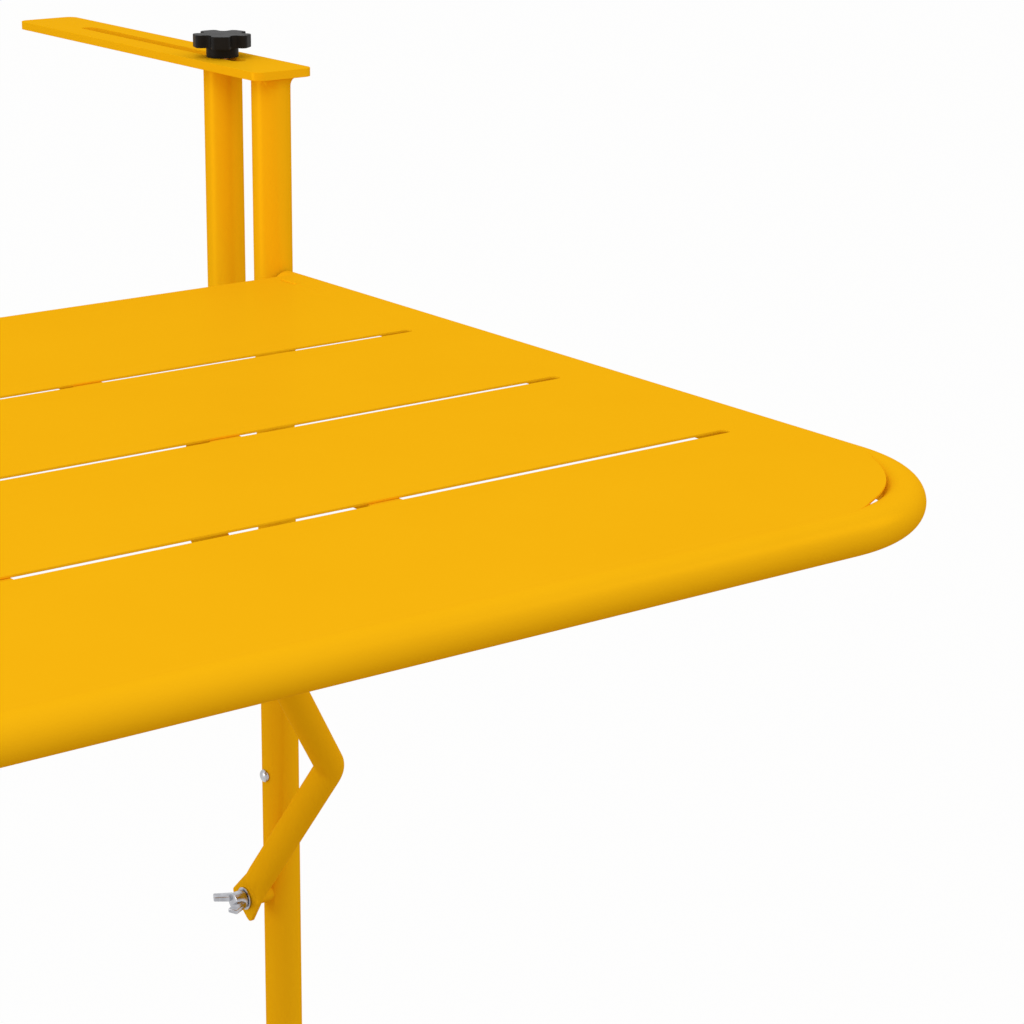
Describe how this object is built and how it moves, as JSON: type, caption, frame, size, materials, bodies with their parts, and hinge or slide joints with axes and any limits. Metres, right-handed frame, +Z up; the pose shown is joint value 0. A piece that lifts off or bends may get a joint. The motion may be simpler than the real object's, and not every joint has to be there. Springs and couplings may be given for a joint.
{
  "type": "balcony railing bar table",
  "caption": "Slotted sheet-steel bar table that hangs on a balcony railing from strapped posts, with a tube frame, bent stays, sliding clamp tubes and star knobs.",
  "frame": {"origin": "half way between the posts, at the railing side of the posts and the underside of the straps, where the table hangs on the railing", "axes": "+X along the railing to the right, +Y from the table towards the railing, +Z up"},
  "size_m": [0.614, 0.588, 0.4857],
  "materials": {
    "yellow_steel": "satin powder coat, yellow",
    "black_plastic": "moulded, fine-grained black",
    "bright_steel": "zinc-plated, slightly dull",
    "brass": "turned, unpolished"
  },
  "bodies": {
    "hanger": {"post_left": "yellow_steel", "post_right": "yellow_steel", "post_caps": "black_plastic", "strap_left": "yellow_steel", "strap_right": "yellow_steel", "strap_welds": "yellow_steel", "tie_tube": "yellow_steel", "hinge_pins": "bright_steel", "hinge_washers": "bright_steel", "stay_bosses": "bright_steel", "stop_rivets": "bright_steel"},
    "top": {"top_panel": "yellow_steel", "frame_tube": "yellow_steel", "back_rail": "yellow_steel", "crossbar_left": "yellow_steel", "crossbar_middle": "yellow_steel", "crossbar_right": "yellow_steel", "hinge_ear_left": "yellow_steel", "hinge_ear_right": "yellow_steel", "stay_brackets": "yellow_steel", "stay_pins": "bright_steel"},
    "stay_left": {"stay_left": "yellow_steel", "foot_washer_left": "bright_steel"},
    "wing_left": {"wing_screw_left": "bright_steel"},
    "clamp_left": {"clamp_tube_left": "yellow_steel", "clamp_plug_left": "bright_steel", "clamp_stud_left": "bright_steel", "clamp_cap_left": "black_plastic"},
    "knob_left": {"knob_left": "black_plastic", "knob_bush_left": "brass"},
    "stay_right": {"stay_right": "yellow_steel", "foot_washer_right": "bright_steel"},
    "wing_right": {"wing_screw_right": "bright_steel"},
    "clamp_right": {"clamp_tube_right": "yellow_steel", "clamp_plug_right": "bright_steel", "clamp_stud_right": "bright_steel", "clamp_cap_right": "black_plastic"},
    "knob_right": {"knob_right": "black_plastic", "knob_bush_right": "brass"}
  },
  "joints": [
    {"name": "top_fold", "type": "hinge", "parent": "hanger", "child": "top", "pos_m": [0, -0.008, -0.105], "axis": [1, 0, 0], "range_deg": [0, 90]},
    {"name": "stay_fold_left", "type": "hinge", "parent": "top", "child": "stay_left", "pos_m": [-0.134, -0.2105, -0.102], "axis": [1, 0, 0], "range_deg": [-128.5, 0]},
    {"name": "wing_turn_left", "type": "hinge", "parent": "stay_left", "child": "wing_left", "pos_m": [-0.272, -0.008, -0.357], "axis": [1, 0, 0], "continuous": true},
    {"name": "clamp_slide_left", "type": "slide", "parent": "hanger", "child": "clamp_left", "axis": [0, 1, 0], "range_m": [-0.0115, 0.1085]},
    {"name": "knob_turn_left", "type": "hinge", "parent": "clamp_left", "child": "knob_left", "pos_m": [-0.293, 0.028, 0.008], "axis": [0, 0, 1], "continuous": true},
    {"name": "stay_fold_right", "type": "hinge", "parent": "top", "child": "stay_right", "pos_m": [0.134, -0.2105, -0.102], "axis": [1, 0, 0], "range_deg": [-128.5, 0]},
    {"name": "wing_turn_right", "type": "hinge", "parent": "stay_right", "child": "wing_right", "pos_m": [0.272, -0.008, -0.357], "axis": [1, 0, 0], "continuous": true},
    {"name": "clamp_slide_right", "type": "slide", "parent": "hanger", "child": "clamp_right", "axis": [0, 1, 0], "range_m": [-0.0115, 0.1085]},
    {"name": "knob_turn_right", "type": "hinge", "parent": "clamp_right", "child": "knob_right", "pos_m": [0.293, 0.028, 0.008], "axis": [0, 0, 1], "continuous": true}
  ],
  "couplings": [
    {"joint": "stay_fold_left", "follows": "top_fold", "ratio": -1.4222},
    {"joint": "stay_fold_right", "follows": "top_fold", "ratio": -1.4222}
  ]
}
